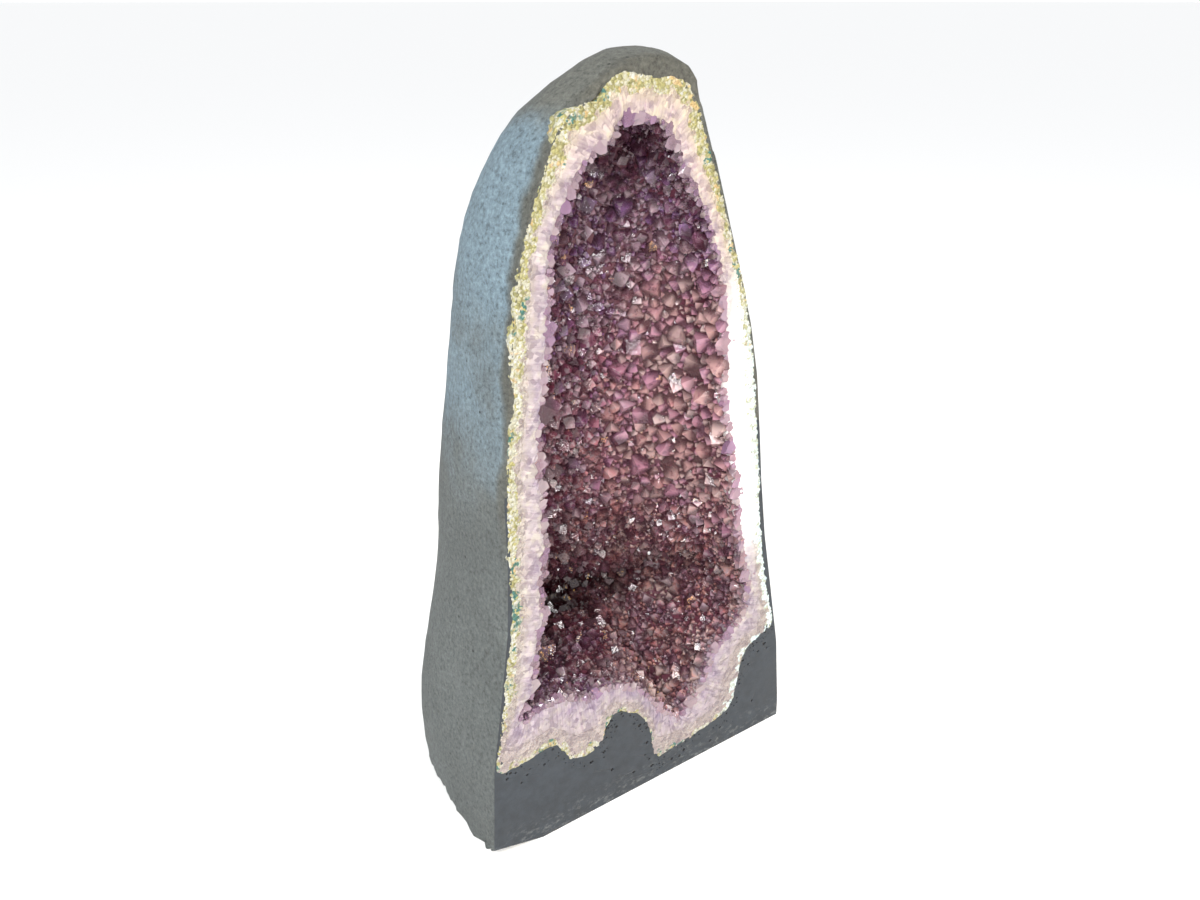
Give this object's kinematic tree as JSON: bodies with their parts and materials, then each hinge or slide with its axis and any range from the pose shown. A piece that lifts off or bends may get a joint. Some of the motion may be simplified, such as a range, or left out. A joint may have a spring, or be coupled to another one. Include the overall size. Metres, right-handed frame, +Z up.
{
  "type": "amethyst geode",
  "caption": "Standing geode cut flat in front and below: a grey stone hull, a pale chalcedony and quartz rim, and a hollow lined with amethyst points.",
  "frame": {"origin": "centre of the bounding box in plan, on the plane that the cut base stands on", "axes": "+Z up along the stone's height, +X along the cut face to the right as seen from the front, +Y back from the cut face; the open hollow faces -Y"},
  "size_m": [0.2968, 0.1864, 0.565],
  "materials": {
    "grey_stone": "rough cement-like skin on the back and sides, honed smooth on the cut face",
    "chalcedony": "cream and moss-green granular chalcedony, cut flat",
    "amethyst": "see-through amethyst points on pale milky quartz"
  },
  "bodies": {
    "root": {"stone_hull": "grey_stone", "chalcedony_rind": "chalcedony", "amethyst_crust": "amethyst"}
  },
  "joints": []
}
